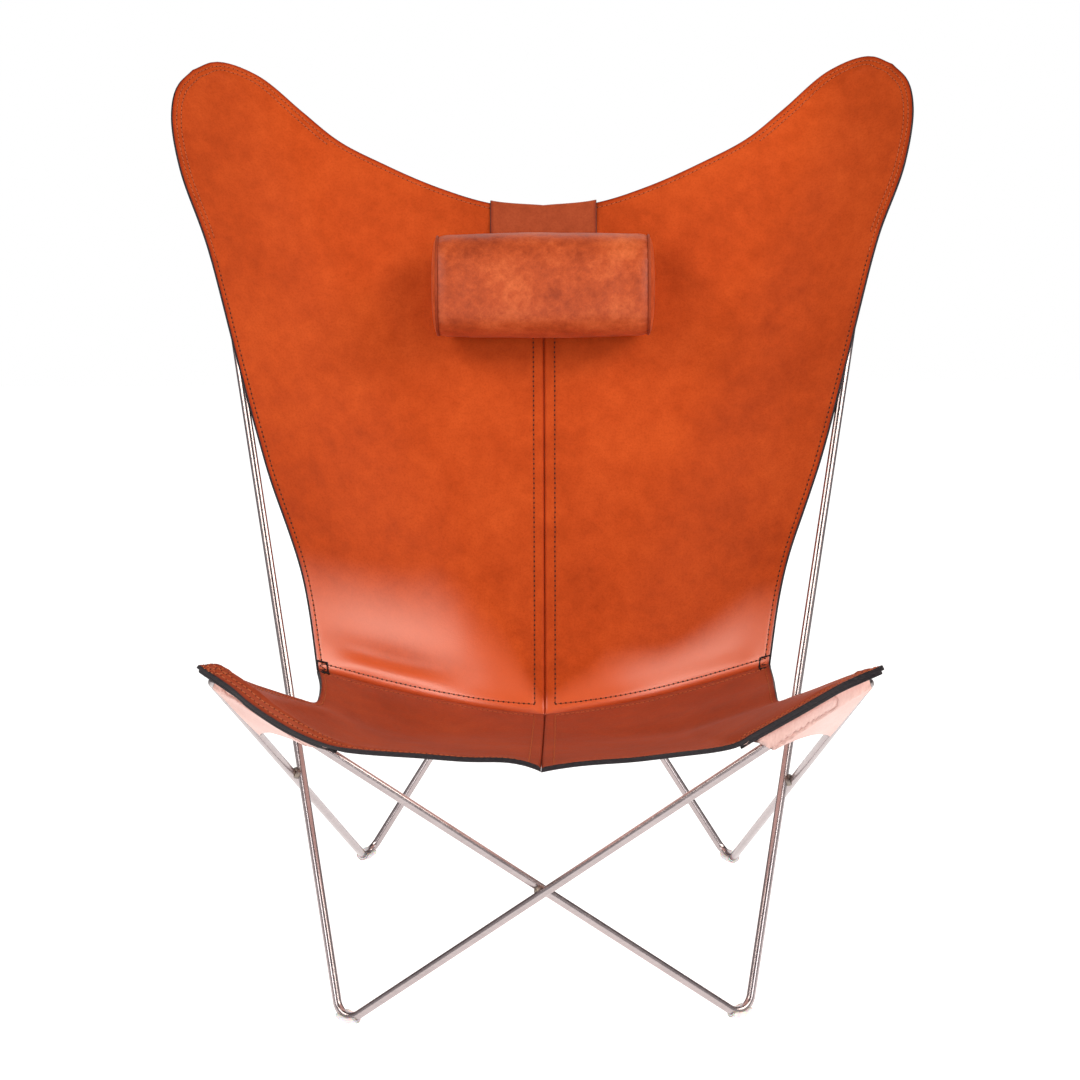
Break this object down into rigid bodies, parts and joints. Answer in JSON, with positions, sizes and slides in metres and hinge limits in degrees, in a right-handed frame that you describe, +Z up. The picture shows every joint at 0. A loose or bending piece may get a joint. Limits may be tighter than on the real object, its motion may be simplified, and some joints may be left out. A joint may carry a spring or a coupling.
{
  "type": "butterfly lounge chair",
  "caption": "Butterfly lounge chair: crossed bent steel rods carry a hung saddle-leather sling, with a roll headrest on a counterweighted strap.",
  "frame": {"origin": "on the floor, under the middle of the chair's overall box", "axes": "+Z up, +X to the right as seen by someone facing the chair, the sitter faces -Y"},
  "size_m": [0.9032, 0.804, 1.0004],
  "materials": {
    "steel": "satin, drawn lengthwise",
    "raw_steel": "dull, brushed after welding",
    "glide_plastic": "milky and translucent",
    "saddle_leather": "satin cognac saddle leather",
    "seat_leather": "satin cognac saddle leather, darker",
    "leather_underside": "raw flesh side",
    "soft_leather": "soft, mottled and pulled up",
    "thread": "waxed thread",
    "filling": "soft fill"
  },
  "bodies": {
    "chair": {"frame_rod_left": "steel", "frame_rod_right": "steel", "weld_front": "raw_steel", "weld_rear": "raw_steel", "weld_left": "raw_steel", "weld_right": "raw_steel", "glide_front_left": "glide_plastic", "glide_front_right": "glide_plastic", "glide_rear_left": "glide_plastic", "glide_rear_right": "glide_plastic", "back_panel_left": "saddle_leather", "back_panel_right": "saddle_leather", "seat_panel_left": "seat_leather", "seat_panel_right": "seat_leather", "top_pocket_left": "leather_underside", "top_pocket_right": "leather_underside", "front_pocket_left": "leather_underside", "front_pocket_right": "leather_underside", "seam_strip_back": "leather_underside", "seam_strip_seat": "leather_underside", "seam_strip_waist": "leather_underside", "bar_tack_left": "thread", "bar_tack_right": "thread", "strap_bend": "soft_leather"},
    "headrest": {"headrest_cover": "soft_leather", "headrest_end_left": "soft_leather", "headrest_end_right": "soft_leather", "headrest_core": "filling", "strap_front": "soft_leather"},
    "counterweight": {"strap_rear": "soft_leather", "counterweight_pouch": "soft_leather", "counterweight_bar": "raw_steel"}
  },
  "joints": [
    {"name": "counterweight_slide", "type": "slide", "parent": "chair", "child": "counterweight", "axis": [0, 0, 1], "range_m": [-0.02, 0.08], "deforming": ["strap_rear"]},
    {"name": "headrest_slide", "type": "slide", "parent": "chair", "child": "headrest", "axis": [0, 0.361, 0.9326], "range_m": [-0.08, 0.02], "deforming": ["strap_front"]}
  ],
  "couplings": [
    {"joint": "headrest_slide", "follows": "counterweight_slide", "ratio": -1}
  ]
}
